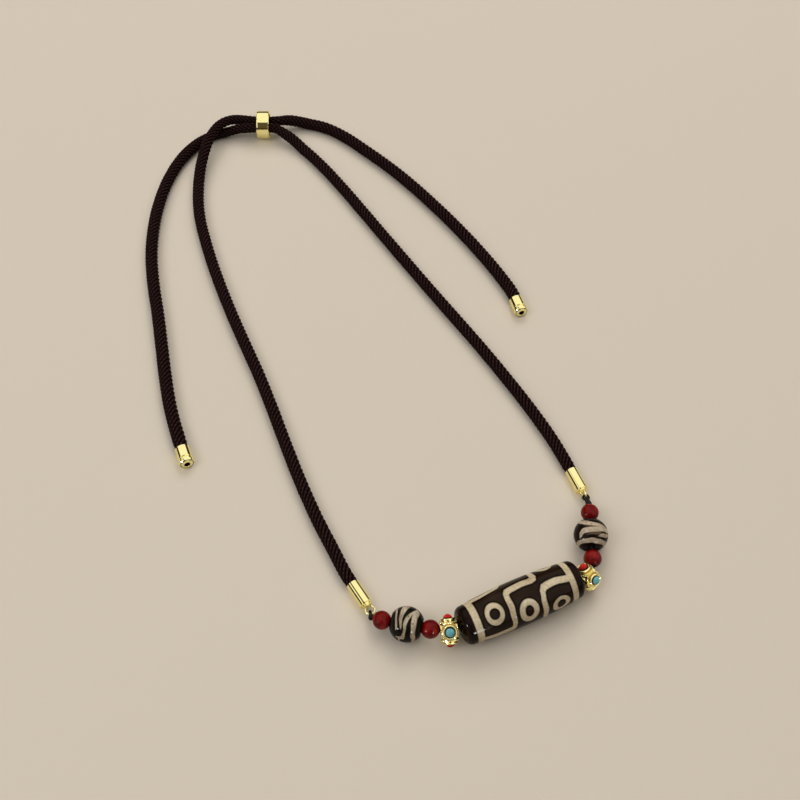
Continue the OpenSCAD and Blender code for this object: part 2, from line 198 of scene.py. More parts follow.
def smooth_path(points, step):
    """A centripetal Catmull-Rom curve through the points, at even steps."""
    p = np.asarray(points, float)
    p = np.vstack([2 * p[0] - p[1], p, 2 * p[-1] - p[-2]])
    dense = []
    for i in range(1, len(p) - 2):
        p0, p1, p2, p3 = p[i - 1:i + 3]
        t0 = 0.0
        t1 = t0 + np.linalg.norm(p1 - p0) ** 0.5
        t2 = t1 + np.linalg.norm(p2 - p1) ** 0.5
        t3 = t2 + np.linalg.norm(p3 - p2) ** 0.5
        t = np.linspace(t1, t2, 60, endpoint=False)[:, None]
        a1 = (t1 - t) / (t1 - t0) * p0 + (t - t0) / (t1 - t0) * p1
        a2 = (t2 - t) / (t2 - t1) * p1 + (t - t1) / (t2 - t1) * p2
        a3 = (t3 - t) / (t3 - t2) * p2 + (t - t2) / (t3 - t2) * p3
        b1 = (t2 - t) / (t2 - t0) * a1 + (t - t0) / (t2 - t0) * a2
        b2 = (t3 - t) / (t3 - t1) * a2 + (t - t1) / (t3 - t1) * a3
        dense.append((t2 - t) / (t2 - t1) * b1 + (t - t1) / (t2 - t1) * b2)
    dense = np.vstack(dense + [p[-2:-1]])
    s = np.r_[0, np.cumsum(np.linalg.norm(np.diff(dense, axis=0), axis=1))]
    n = max(2, int(round(s[-1] / step)))
    at = np.linspace(0, s[-1], n + 1)
    return np.stack([np.interp(at, s, dense[:, k]) for k in range(3)], 1), at


def frames(path):
    """Side and up directions along a path, free of twist about the level."""
    d = np.gradient(path, axis=0)
    d /= np.linalg.norm(d, axis=1)[:, None]
    side = np.cross([0.0, 0.0, 1.0], d)
    side /= np.linalg.norm(side, axis=1)[:, None]
    return d, side, np.cross(d, side)


def ribbed_tube(path, at, radius, starts, lead, per_rib, depth, wobble=0.0, seed=0.0,
                shape=1.6, stitch=0.0, stitch_len=1.0):
    """A twisted tube: 'starts' ribs that wind right-handed round the path
    once in every 'lead'. Its rows of vertices turn with the ribs, so that each
    rib stays crisp. Returns vertices, faces, the rib height of each vertex
    and the (length, rib) coordinates of each corner."""
    n = starts * per_rib
    d, side, up = frames(path)
    radius = np.broadcast_to(radius, (len(path),))
    k = np.arange(n)
    phase = (k % per_rib) / per_rib
    crest = 1 - np.abs(2 * phase - 1) ** shape * 1.0
    rib_no = k // per_rib
    ang = 2 * np.pi * k / n + (2 * np.pi / lead) * at[:, None] \
        + wobble * np.sin(0.37 * at + seed)[:, None]
    h = np.broadcast_to(crest, ang.shape).copy()
    if stitch:
        # the short stitches that each rib is plaited from
        slide = at[:, None] / stitch_len + rib_no[None, :] * 0.5 + phase[None, :] * 0.55
        h = h - stitch * crest * (0.5 + 0.5 * np.cos(2 * np.pi * slide)) ** 1.5
    r = radius[:, None] - depth * (1 - h)
    v = path[:, None, :] + (r * np.cos(ang))[:, :, None] * side[:, None, :] \
        + (r * np.sin(ang))[:, :, None] * up[:, None, :]
    rows = len(path)
    faces = grid_faces(rows, n)
    c0 = len(faces)
    faces.append(tuple(range(n - 1, -1, -1)))
    faces.append(tuple((rows - 1) * n + j for j in range(n)))
    # corner coordinates
    u = at / 10.0
    vv = np.arange(n + 1) / per_rib
    i, j = np.meshgrid(np.arange(rows - 1), np.arange(n), indexing="ij")
    i, j = i.ravel(), j.ravel()
    quad = np.stack([np.stack([u[i], vv[j]], 1), np.stack([u[i], vv[j + 1]], 1),
                     np.stack([u[i + 1], vv[j + 1]], 1), np.stack([u[i + 1], vv[j]], 1)], 1)
    ends = np.zeros((2 * n, 2))
    uv = np.vstack([quad.reshape(-1, 2), ends])
    assert c0 == len(i)
    return v.reshape(-1, 3), faces, h.reshape(-1), uv


# ---------------------------------------------------------------------------
# Materials
# ---------------------------------------------------------------------------


class Mat:
    """A Principled material and short ways to add nodes to it."""

    def __init__(self, name, base=(0.5, 0.5, 0.5), rough=0.4, metal=0.0, **sockets):
        self.m = bpy.data.materials.new(name)
        self.m.use_nodes = True
        self.t = self.m.node_tree
        self.b = self.t.nodes["Principled BSDF"]
        self.b.inputs["Base Color"].default_value = (*base, 1)
        self.b.inputs["Roughness"].default_value = rough
        self.b.inputs["Metallic"].default_value = metal
        for key, value in sockets.items():
            self.b.inputs[key.replace("_", " ")].default_value = value
        self.coords = None

    def node(self, kind, **props):
        n = self.t.nodes.new(kind)
        for key, value in props.items():
            setattr(n, key, value)
        return n

    def link(self, a, b):
        self.t.links.new(a, b)

    def attr(self, name):
        return self.node("ShaderNodeAttribute", attribute_name=name).outputs["Fac"]

    def obj(self):
        if self.coords is None:
            self.coords = self.node("ShaderNodeTexCoord").outputs["Object"]
        return self.coords

    def uv(self):
        return self.node("ShaderNodeUVMap", uv_map="strand").outputs["UV"]

    def noise(self, scale, detail=3.0, rough=0.55, stretch=None, distort=0.0):
        n = self.node("ShaderNodeTexNoise")
        n.inputs["Scale"].default_value = scale
        n.inputs["Detail"].default_value = detail
        n.inputs["Roughness"].default_value = rough
        n.inputs["Distortion"].default_value = distort
        src = self.obj()
        if stretch:
            mp = self.node("ShaderNodeMapping")
            mp.inputs["Scale"].default_value = stretch
            self.link(src, mp.inputs["Vector"])
            src = mp.outputs["Vector"]
        self.link(src, n.inputs["Vector"])
        return n.outputs["Fac"]

    def ramp(self, fac, stops):
        r = self.node("ShaderNodeValToRGB")
        e = r.color_ramp.elements
        while len(e) < len(stops):
            e.new(0.5)
        for el, (pos, col) in zip(e, stops):
            el.position = pos
            el.color = (*col, 1) if len(col) == 3 else col
        self.link(fac, r.inputs["Fac"])
        return r.outputs["Color"]

    def math(self, op, a, b=None, clamp=False):
        n = self.node("ShaderNodeMath", operation=op, use_clamp=clamp)
        for i, x in enumerate((a, b)):
            if x is None:
                continue
            if isinstance(x, (int, float)):
                n.inputs[i].default_value = x
            else:
                self.link(x, n.inputs[i])
        return n.outputs[0]

    def map(self, x, a, b, c, d):
        n = self.node("ShaderNodeMapRange", clamp=True)
        for key, value in (("From Min", a), ("From Max", b), ("To Min", c), ("To Max", d)):
            n.inputs[key].default_value = value
        self.link(x, n.inputs["Value"])
        return n.outputs["Result"]

    def mix(self, fac, a, b, blend="MIX"):
        n = self.node("ShaderNodeMix", data_type="RGBA", blend_type=blend)
        for sock, x in ((n.inputs[0], fac), (n.inputs[6], a), (n.inputs[7], b)):
            if isinstance(x, (int, float)):
                sock.default_value = x
            elif isinstance(x, tuple):
                sock.default_value = (*x, 1)
            else:
                self.link(x, sock)
        return n.outputs[2]

    def color(self, x):
        self.link(x, self.b.inputs["Base Color"])

    def rough(self, x):
        self.link(x, self.b.inputs["Roughness"])

    def bump(self, x, strength, distance):
        n = self.node("ShaderNodeBump")
        n.inputs["Strength"].default_value = strength
        n.inputs["Distance"].default_value = distance
        self.link(x, n.inputs["Height"])
        self.link(n.outputs["Normal"], self.b.inputs["Normal"])


def mat_cord():
    a = Mat("cord_braid", rough=0.6, Specular_IOR_Level=0.01)
    crest = a.attr("crest")
    # fine yarns that cross each rib
    sep = a.node("ShaderNodeSeparateXYZ")
    a.link(a.uv(), sep.inputs[0])
    u, v = sep.outputs[0], sep.outputs[1]
    lines = a.math("SINE", a.math("ADD", a.math("MULTIPLY", u, 2 * math.pi * 26.0),
                                  a.math("MULTIPLY", v, 2 * math.pi * 2.0)))
    yarn = a.map(lines, -1, 1, 0, 1)
    mott = a.noise(900, 3)
    h = a.math("ADD", a.math("MULTIPLY", crest, 0.86), a.math("MULTIPLY", yarn, 0.16))
    h = a.math("ADD", h, a.math("MULTIPLY", a.math("SUBTRACT", mott, 0.5), 0.30))
    # painted shade and painted highlight: the colour runs from near black in the grooves between
    # the ribs to lighter on the crests
    a.color(a.ramp(h, [(0.0, (0.0014, 0.0002, 0.0002)), (0.45, (0.0062, 0.0016, 0.0013)),
                       (0.76, (0.0200, 0.0090, 0.0080)), (1.0, (0.062, 0.039, 0.037))]))
    a.rough(a.map(crest, 0, 1, 0.85, 0.5))
    a.bump(a.math("ADD", a.math("MULTIPLY", yarn, 0.7), a.math("MULTIPLY", mott, 0.5)),
           0.6, 0.00009)
    return a.m


def mat_thread():
    a = Mat("thread_black", rough=0.6, Sheen_Weight=0.02, Sheen_Roughness=0.4,
            Specular_IOR_Level=0.05)
    a.b.inputs["Sheen Tint"].default_value = (0.6, 0.5, 0.45, 1)
    crest = a.attr("crest")
    n = a.noise(2600, 2)
    h = a.math("ADD", crest, a.math("MULTIPLY", a.math("SUBTRACT", n, 0.5), 0.5))
    # painted shade and painted highlight: near black in the grooves of the twist, lighter on its
    # crests
    a.color(a.ramp(h, [(0.0, (0.0022, 0.0016, 0.0015)), (0.6, (0.0085, 0.0064, 0.0058)),
                       (1.0, (0.034, 0.026, 0.023))]))
    a.bump(n, 0.4, 0.00005)
    return a.m


def mat_barrel():
    a = Mat("agate_etched", rough=0.1, Specular_IOR_Level=0.06)
    line, halo, end = a.attr("line"), a.attr("halo"), a.attr("end")
    big = a.noise(160, 4)
    fine = a.noise(1300, 4, 0.65)
    ground = a.ramp(big, [(0.25, (0.011, 0.0052, 0.0025)), (0.55, (0.020, 0.0108, 0.0058)),
                          (0.8, (0.035, 0.0205, 0.0118))])
    ground = a.mix(halo, ground, (0.0016, 0.0006, 0.0003))
    ends = a.ramp(big, [(0.3, (0.0040, 0.0018, 0.0014)), (0.7, (0.014, 0.0055, 0.0035))])
    ground = a.mix(end, ground, ends)
    f2 = a.math("ADD", a.math("MULTIPLY", big, 0.5), a.math("MULTIPLY", fine, 0.5))
    cream = a.ramp(f2, [(0.32, (0.34, 0.255, 0.150)), (0.5, (0.53, 0.43, 0.280)),
                        (0.68, (0.70, 0.60, 0.43))])
    edge = a.math("MULTIPLY", line, a.math("SUBTRACT", 1.0, line))
    cream = a.mix(a.math("MULTIPLY", edge, 1.6, True), cream, (0.28, 0.175, 0.09))
    a.color(a.mix(line, ground, cream))
    a.rough(a.math("ADD", a.map(line, 0, 1, 0.08, 0.22), a.map(fine, 0.3, 0.7, -0.02, 0.04)))
    a.bump(a.math("ADD", a.math("MULTIPLY", fine, 0.35), a.math("MULTIPLY", line, -0.6)),
           0.12, 0.00006)
    return a.m


def mat_round(name, dark, pale, tint, warm, stain):
    a = Mat(name, rough=0.09, Specular_IOR_Level=0.06)
    line = a.attr("line")
    big = a.noise(330, 4)
    fine = a.noise(1900, 4, 0.7)
    ground = a.ramp(big, [(0.3, dark[0]), (0.7, dark[1])])
    f2 = a.math("ADD", a.math("MULTIPLY", big, 0.6), a.math("MULTIPLY", fine, 0.4))
    cream = a.ramp(f2, [(0.28, pale[0]), (0.5, pale[1]), (0.72, pale[2])])
    spots = a.map(a.noise(1300, 3, 0.6), 0.55, 0.68, 0, 0.85)
    cream = a.mix(spots, cream, tint)
    cream = a.mix(a.math("MULTIPLY", a.attr("warm"), 0.8), cream, warm)
    ground = a.mix(a.attr("stain"), ground, stain)
    edge = a.math("MULTIPLY", line, a.math("SUBTRACT", 1.0, line))
    cream = a.mix(a.math("MULTIPLY", edge, 2.2, True), cream, tint)
    a.color(a.mix(line, ground, cream))
    a.rough(a.map(line, 0, 1, 0.07, 0.15))
    a.bump(fine, 0.05, 0.00005)
    return a.m


def mat_red():
    a = Mat("carnelian_red", rough=0.1, Specular_IOR_Level=0.12,
            Subsurface_Weight=0.35, Subsurface_Scale=0.0012)
    a.b.inputs["Subsurface Radius"].default_value = (1.0, 0.12, 0.06)
    n = a.noise(420, 4)
    a.color(a.ramp(n, [(0.3, (0.070, 0.0010, 0.0009)), (0.52, (0.155, 0.0030, 0.0028)),
                       (0.75, (0.30, 0.0110, 0.0085))]))
    return a.m


def rim_painted_shade(a, colour):
    """Painted shade: the stone's colour turns dark brown at its rim and on its post, where it
    meets its metal cup.
    """
    # painted shade: mixes the stone's colour towards dark brown by the rim mask
    a.color(a.mix(a.attr("rim"), colour, (0.018, 0.010, 0.006)))


def mat_coral():
    a = Mat("coral_red", rough=0.15, Specular_IOR_Level=0.05,
            Subsurface_Weight=0.15, Subsurface_Scale=0.0004)
    n = a.noise(900, 3)
    rim_painted_shade(a, a.ramp(n, [(0.3, (0.38, 0.010, 0.009)), (0.7, (0.60, 0.028, 0.022))]))
    a.bump(n, 0.08, 0.00005)
    return a.m


def mat_turquoise():
    a = Mat("turquoise_blue", rough=0.18, Specular_IOR_Level=0.05)
    n = a.noise(800, 4, 0.6)
    rim_painted_shade(a, a.ramp(n, [(0.3, (0.07, 0.26, 0.31)), (0.52, (0.15, 0.42, 0.46)),
                             (0.75, (0.33, 0.58, 0.58))]))
    a.bump(n, 0.1, 0.00005)
    return a.m


def mat_gold(name, lo, hi, rough, bump):
    a = Mat(name, rough=rough, metal=1.0)
    n = a.noise(420, 4)
    s = a.noise(2600, 3, 0.6)
    a.color(a.mix(n, lo, hi))
    a.rough(a.map(s, 0.3, 0.7, rough * 0.75, rough * 1.3))
    a.bump(s, bump, 0.00004)
    return a.m


def mat_rubber():
    a = Mat("rubber_black", rough=0.7, Specular_IOR_Level=0.05)
    n = a.noise(1500, 3)
    a.color(a.ramp(n, [(0.3, (0.010, 0.009, 0.009)), (0.7, (0.020, 0.018, 0.018))]))
    a.bump(n, 0.25, 0.00005)
    return a.m


CORD = mat_cord()
THREAD = mat_thread()
AGATE = mat_barrel()
STRIPE_L = mat_round("agate_striped_left",
                     ((0.0035, 0.0028, 0.0022), (0.0090, 0.0072, 0.0055)),
                     ((0.22, 0.170, 0.110), (0.42, 0.345, 0.245), (0.66, 0.56, 0.43)),
                     (0.13, 0.075, 0.032), (0.24, 0.135, 0.098), (0.05, 0.03, 0.018))
STRIPE_R = mat_round("agate_striped_right",
                     ((0.0040, 0.0028, 0.0020), (0.0140, 0.0080, 0.0048)),
                     ((0.30, 0.225, 0.150), (0.48, 0.385, 0.275), (0.60, 0.515, 0.40)),
                     (0.22, 0.135, 0.070), (0.26, 0.165, 0.105), (0.145, 0.090, 0.048))
RED = mat_red()
CORAL = mat_coral()
TURQ = mat_turquoise()
GOLD = mat_gold("gold_pale", (0.96, 0.85, 0.38), (1.0, 0.92, 0.46), 0.06, 0.012)
GOLD_S = mat_gold("gold_yellow", (1.0, 0.86, 0.36), (1.0, 0.92, 0.46), 0.10, 0.04)
# near black brown and darker gold for small rings that stand for shaded grooves: painted shade
SHADE_DARK = Mat("painted_shade_dark", base=(0.035, 0.020, 0.008), rough=0.6, metal=0.4,
             Specular_IOR_Level=0.2).m
GOLD_SHADED = mat_gold("gold_painted_shade", (0.50, 0.31, 0.08), (0.62, 0.42, 0.13), 0.35, 0.04)
RUBBER = mat_rubber()

# ---------------------------------------------------------------------------
# The two braided cords
# ---------------------------------------------------------------------------
CORD_R = 2.05
CORD_DEPTH = 0.46

path_a, at_a = smooth_path(ROUTE_A, 0.4)
path_b, at_b = smooth_path(ROUTE_B, 0.4)


def cord_radius(path, other, at):
    """The crest of the ribs: looser and fuller towards the tail, firmer
    beside the other cord, and pressed together where it enters its caps."""
    near = np.array([np.min(np.linalg.norm(other - p, axis=1)) for p in path])
    t = np.clip((near - 4.6) / 5.0, 0, 1)
    free = np.interp(at / at[-1], [0.0, 0.5, 0.68, 1.0], [2.19, 2.30, 2.40, 2.41])
    r = CORD_R + (free - CORD_R) * t * t * (3 - 2 * t)
    for dist, inside in ((at - 5.5, 1.74), ((at[-1] - at) - 4.0, 2.16)):
        t = np.clip((dist + 0.3) / 2.2, 0, 1)
        r = np.minimum(r, inside + (free - inside) * (t * t * (3 - 2 * t)) ** 0.6)
    t = np.clip((at - 7.5) / 14.0, 0, 1)
    return np.minimum(r, 2.13 + (free - 2.13) * t)


def make_cord(name, path, at, other, node, seed):
    r = cord_radius(path, other, at)
    path = path.copy()
    path[:, 2] = np.maximum(path[:, 2], r + 0.01)
    v, f, h, uv = ribbed_tube(path, at, r, 8, 15.6, 12, CORD_DEPTH, wobble=0.05,
                              seed=seed, shape=1.8, stitch=0.42, stitch_len=1.15)
    ob = make_mesh(name, v, f, CORD, [node], uv=uv, attrs={"crest": h})
    pts = (path - ORG) * 0.001
    length = float(np.sum(np.linalg.norm(np.diff(pts, axis=0), axis=1)))
    return ob, length


cord_a, len_a = make_cord("cord_left_strand", path_a, at_a, path_b, "cord_a",
                          0.0)
cord_b, len_b = make_cord("cord_right_strand", path_b, at_b, path_a, "cord_b",
                          1.7)
print("cord lengths", round(len_a, 4), round(len_b, 4))

# ---------------------------------------------------------------------------
# Pattern tools: the distance from points to drawn strokes
# ---------------------------------------------------------------------------


def smoothstep(x):
    x = np.clip(x, 0, 1)
    return x * x * (3 - 2 * x)


def to_segments(points, lines):
    """Least distance from each point to any segment of the open lines."""
    best = np.full(len(points), 1e9)
    for line in lines:
        p = np.asarray(line, float)
        for a, b in zip(p[:-1], p[1:]):
            ab = b - a
            t = np.clip(((points - a) @ ab) / (ab @ ab), 0, 1)
            q = a + t[:, None] * ab
            best = np.minimum(best, np.linalg.norm(points - q, axis=1))
    return best


# ---- the long bead --------------------------------------------------------
# Strokes in (mm along the bead, degrees round it from the top towards the
# front). Three stepped lines run from the left band to the right band, and
# nine ring eyes stand between them in three rows.
HALF = 20.4 - 1.9 - 0.3
STEPS = [
    [(-16.3, 91), (-7.8, 89), (-6.2, 87.5), (-5.5, 81), (-5.35, 70), (-5.4, 50),
     (-5.2, 25), (-5.0, 0), (-4.85, -10), (-4.2, -17), (-3.0, -19.6), (-1.8, -20.2),
     (0.9, -20.5), (3.9, -19.5),
     (5.0, -23), (5.55, -32), (5.7, -50), (5.8, -110), (6.3, -120), (10, -122),
     (16.2, -121)],
    [(-16.3, 197), (-7.5, 197), (-6.0, 194), (-5.3, 184), (-5.2, 150), (-4.9, 128),
     (-4.2, 124), (0.2, 124), (3.8, 124), (4.9, 120), (5.1, 110), (5.15, 85),
     (5.25, 60), (5.35, 38), (5.7, 20), (6.6, 10.5), (8.2, 8.5), (11.5, 8.5),
     (14.5, 12), (16.2, 13)],
    [(-16.3, -45), (-11.5, -47.5), (-8.1, -50), (-6.2, -52), (-5.35, -60),
     (-5.3, -100), (-5.0, -140), (-4.2, -147), (0.5, -149), (4.0, -149),
     (5.2, -155), (5.6, -190), (6.0, -214), (7.0, -221), (11, -222), (16.2, -222)],
]
# centre, then outer and inner half sizes: mm along and mm round
EYES = [
    (-10.65, 24.5, 2.95, 3.65, 1.65, 1.8), (-0.1, 52, 3.2, 3.75, 1.45, 1.85),
    (10.75, 73, 3.1, 2.8, 1.5, 1.6),
    (-10.7, 143, 2.9, 3.3, 1.5, 1.7), (0.0, 168, 3.0, 3.1, 1.5, 1.6),
    (10.8, 189, 3.0, 3.4, 1.5, 1.75),
    (-10.6, -107, 3.0, 3.5, 1.5, 1.8), (0.0, -97, 3.0, 3.2, 1.5, 1.6),
    (10.65, -67, 3.2, 3.6, 1.55, 1.8),
]
DEG = math.radians(1) * 6.9
SQUASH = 1.36


def barrel_pattern(x, deg):
    """Line mask and the dark halo round it, for points of the long bead."""
    wob = 0.10 * np.sin(0.9 * x + 0.07 * deg) + 0.07 * np.sin(0.05 * deg * 2.9 + 1.3)
    X = x + wob
    Y = (deg + 0.9 * np.sin(0.7 * x + 0.5)) * DEG / SQUASH
    pts = np.stack([X, Y], 1)
    lines = []
    for s in STEPS:
        for turn in (-360, 0, 360):
            lines.append([(a, (b + turn) * DEG / SQUASH) for a, b in s])
    d = to_segments(pts, lines) - 0.83
    # bands at both ends, square to the bead
    wl = 0.16 * np.sin(np.radians(deg) + 0.8) + 0.06 * np.sin(3 * np.radians(deg))
    wr = 0.10 * np.sin(np.radians(deg) * 2 + 0.3)
    d = np.minimum(d, np.abs(x + 16.25 + wl) - 1.07)
    d = np.minimum(d, np.abs(x - 16.15 + wr) - 0.98)
    # the strokes run into each other and into the bands with small fillets
    for cx, cd, ox, oy, ix, iy in EYES:
        for turn in (-360, 0, 360):
            ex = x - cx
            ey = (deg - cd - turn) * DEG
            near = np.hypot(ex, ey) < 6
            if not near.any():
                continue
            qo = np.hypot(ex[near] / ox, ey[near] / oy)
            qi = np.hypot(ex[near] / ix, ey[near] / iy)
            ring = np.maximum((qo - 1) * min(ox, oy), (1 - qi) * min(ix, iy))
            d[near] = np.minimum(d[near], ring)
    soft = 0.13
    line = smoothstep(0.5 - d / (2 * soft))
    halo = smoothstep(1 - (d - soft) / 0.75) * (1 - line)
    return line, halo


def barrel_mesh():
    n = 300
    prof = []
    xs = np.linspace(-HALF, HALF, 258)
    end = []
    for i in range(1, 15):
        a = math.radians(90 * i / 14)
        end.append((HALF + 1.9 * math.sin(a), 6.1 - 1.9 * (1 - math.cos(a))))
    for i in range(1, 9):
        q = 4.2 + (1.25 - 4.2) * i / 8
        end.append((20.4 - 0.3 * q * q / (4.2 * 4.2), q))
    # the rim of the thread hole is eased a little
    end[-1] = (20.36, 1.33)
    end.append((20.2, 1.25))
    side = [(x, 7.1 - (x / HALF) ** 2) for x in xs]
    bore = [(x, 1.25) for x in np.linspace(19.0, -19.0, 7)]
    left = [(-x, r) for x, r in reversed(end)]
    outline = np.array(left + side + end + bore)
    v = lathe(outline, n)
    deg_row = np.linspace(0, 360, n, endpoint=False)
    x = v[:, 0].copy()
    # row vertices go from +Z towards +Y; the pattern counts towards -Y
    deg = np.tile(-deg_row, len(outline))
    deg = (deg + 180) % 360 - 180
    line, halo = barrel_pattern(x, deg)
    outer = np.repeat(outline[:, 1] > 1.4, n)
    line = line * outer
    far = smoothstep((np.abs(x) - 17.2) / 0.5)
    # the etched lines lie a hair below the polished ground
    r = np.hypot(v[:, 1], v[:, 2])
    k = 1 - 0.035 * line / np.maximum(r, 1)
    v[:, 1] *= k
    v[:, 2] *= k
    faces = grid_faces(len(outline), n, close_rows=True)
    faces = [f[::-1] for f in faces]
    v = v + BARREL
    return make_mesh("dzi_bead_long", v, faces, AGATE, ["dzi_barrel"],
                     attrs={"line": line, "halo": halo, "end": far})


barrel_mesh()

# ---- the two round beads ---------------------------------------------------
# Strokes in (mm along the hole from the middle, degrees round it, half width)
LEFT_STRIPES = [
    [(3.4, -170, .4), (3.75, -120, .4), (3.85, -70, .38), (3.8, -45, .38), (3.7, -31, .38),
     (3.4, -3, .38), (3.05, 20, .4), (2.8, 35, .4), (2.5, 47, .3), (2.4, 52, .12)],
    [(0.3, -130, .6), (0.5, -90, .95), (0.9, -60, 1.15), (1.2, -42, 1.1), (1.4, -20, .9),
     (1.6, -2, .66), (1.6, 13, .55), (1.45, 26, .45), (1.25, 37, .33), (1.15, 45, .15)],
    [(-2.0, -33, .3), (-1.6, -21, .42), (-0.9, -5, .52), (-0.3, 9, .56), (-0.1, 20, .58),
     (0.1, 30, .54), (0.0, 41, .42), (-0.1, 54, .38), (-0.2, 68, .52), (0.2, 77, .60),
     (1.0, 80, .58), (1.7, 82, .45), (2.2, 83, .25)],
    [(1.2, 86, .3), (1.0, 101, .25), (0.4, 116, .3), (-0.2, 140, .45), (-0.6, 170, .5),
     (-0.5, 200, .5), (0.3, 230, .5)],
    [(-2.5, -45, .55), (-2.55, -35, .75), (-2.5, -19, .82), (-2.35, 1, .84), (-2.4, 16, .84),
     (-2.55, 31, .84), (-2.65, 46, .82), (-2.85, 63, .8), (-3.1, 88, .72),
     (-3.1, 120, .6), (-3.3, 165, .5), (-3.2, 205, .5), (-3.0, 250, .45), (-2.9, 285, .3)],
]
RIGHT_STRIPES = [
    [(3.4, 110, .4), (3.5, 80, .45), (3.0, 55, .55), (2.3, 40, .8), (1.55, 25, .85),
     (1.1, 10, .75), (0.85, -6, .7), (0.75, -25, .6), (0.5, -43, .55), (0.2, -60, .5)],
    [(-2.75, 57, .2), (-2.4, 51, .4), (-1.8, 44, .66), (-1.35, 35, .86), (-1.2, 21, .92),
     (-1.15, 4, .94), (-0.85, -15, .92), (-0.35, -35, .88), (0.05, -50, .85), (0.6, -90, .6),
     (1.4, -130, .5), (2.4, -170, .45), (3.0, -210, .4), (3.4, -250, .4)],
    [(-2.95, -18, .1), (-2.7, -27, .35), (-2.25, -40, .55), (-1.6, -58, .6),
     (-0.9, -77, .5), (-0.6, -110, .5), (-0.4, -150, .5), (-0.9, -190, .5),
     (-1.7, -235, .35)],
    [(-3.3, 101, .7), (-3.85, 63, .74), (-3.95, 41, .74), (-4.05, 16, .76), (-4.1, -3, .8),
     (-4.1, -23, .8), (-3.95, -47, .78), (-3.6, -85, .72), (-3.6, -130, .6),
     (-3.7, -180, .55), (-3.5, -220, .6), (-3.3, -259, .7)],
    [(1.2, 150, .4), (1.0, 115, .35), (1.7, 85, .2)],
]

# faint brown lines in the dark of the beads
LEFT_STAINS = [[(2.2, -60, .1), (2.4, -20, .15), (2.2, 20, .1)]]
RIGHT_STAINS = [
    [(0.9, 32, .12), (0.25, 18, .16), (0.02, 2, .2), (0.0, -12, .24), (0.1, -28, .3),
     (0.15, -45, .3)],
    [(-2.5, 25, .12), (-2.45, 5, .2), (-2.3, -12, .3), (-1.9, -28, .35)],
]


def on_sphere(u, deg, r=5.5):
    u = np.clip(np.asarray(u, float), -r * 0.999, r * 0.999)
    q = np.sqrt(r * r - u * u)
    a = np.radians(deg)
    return np.stack([u, q * np.sin(a), q * np.cos(a)], -1)


def stripe_distance(v, strokes):
    """Distance from points of a ball to the rim of the nearest stroke."""
    d = np.full(len(v), 1e9)
    for s in strokes:
        s = np.array(s, float)
        t = np.r_[0, np.cumsum(np.hypot(np.diff(s[:, 0]), np.diff(s[:, 1]) * 0.08))]
        at = np.arange(0, t[-1], 0.12)
        u, g, w = (np.interp(at, t, s[:, k]) for k in range(3))
        c = on_sphere(u, g)
        for i in range(len(at)):
            d = np.minimum(d, np.linalg.norm(v - c[i], axis=1) - w[i])
    return d


def round_bead(name, bead, strokes, stains, material, node, shift, browner):
    n = 260
    flat = math.sqrt(5.5 ** 2 - 4.8 ** 2)
    lat = np.linspace(-math.asin(4.8 / 5.5), math.asin(4.8 / 5.5), 200)
    side = [(5.5 * math.sin(a), 5.5 * math.cos(a)) for a in lat]
    # flat poles, then the countersunk thread hole
    end = [(4.8, flat + (1.95 - flat) * i / 5) for i in range(1, 6)]
    end += [(4.78, 1.86), (4.5, 1.46), (4.24, 0.98), (4.1, 0.9)]
    bore = [(x, 0.9) for x in (3.0, 1.0, -1.0, -3.0)]
    left = [(-x, r) for x, r in reversed(end)]
    outline = np.array(left + side + end + bore)
    v = lathe(outline, n)
    ball = v / np.maximum(np.linalg.norm(v, axis=1), 1e-6)[:, None] * 5.5
    warp = np.stack([0.12 * np.sin(1.9 * ball[:, 2] + shift),
                     0.10 * np.sin(2.3 * ball[:, 0] + shift),
                     0.10 * np.sin(2.1 * ball[:, 1] - shift)], 1)
    d = stripe_distance(ball + warp, strokes)
    outer = np.repeat((outline[:, 1] > 2.0).astype(float), n)
    line = smoothstep(0.5 - d / 0.26) * outer
    stain = smoothstep(0.5 - stripe_distance(ball + warp, stains) / 0.7) * outer
    # one band turns brown towards one side of the bead
    deg = np.degrees(np.arctan2(ball[:, 1], ball[:, 2]))
    warm = smoothstep((-deg - browner[1]) / 35.0) \
        * smoothstep((ball[:, 0] - browner[0]) / 0.8 + 0.5)
    faces = [f[::-1] for f in grid_faces(len(outline), n, close_rows=True)]
    w = v @ bead_matrix(bead).T + np.array(bead[:3])
    return make_mesh(name, w, faces, material, [node],
                     attrs={"line": line, "warm": warm, "stain": stain})


round_bead("dzi_bead_round_left", ROUND_L, LEFT_STRIPES, LEFT_STAINS, STRIPE_L,
           "dzi_round_left", 0.4, (-0.4, 22))
round_bead("dzi_bead_round_right", ROUND_R, RIGHT_STRIPES, RIGHT_STAINS, STRIPE_R,
           "dzi_round_right", 2.1, (3.9, 60))

# ---- the red beads ----------------------------------------------------------


def red_bead(name, bead, node):
    n = 96
    lim = math.asin(2.7 / 2.9)
    side = [(2.9 * math.sin(a), 2.9 * math.cos(a)) for a in np.linspace(-lim, lim, 64)]
    end = [(2.7, 1.02), (2.66, 0.93), (2.5, 0.9)]
    left = [(-x, r) for x, r in reversed(end)]
    bore = [(x, 0.9) for x in (1.2, -1.2)]
    outline = np.array(left + side + end + bore)
    v = lathe(outline, n) @ bead_matrix(bead).T + np.array(bead[:3])
    faces = [f[::-1] for f in grid_faces(len(outline), n, close_rows=True)]
    return make_mesh(name, v, faces, RED, [node])


red_bead("red_bead_outer_left", RED_OL, "red_outer_left")
red_bead("red_bead_inner_left", RED_IL, "red_inner_left")
red_bead("red_bead_inner_right", RED_IR, "red_inner_right")
red_bead("red_bead_outer_right", RED_OR, "red_outer_right")

# ---------------------------------------------------------------------------
# Materials of the CAD nodes that stay
# ---------------------------------------------------------------------------


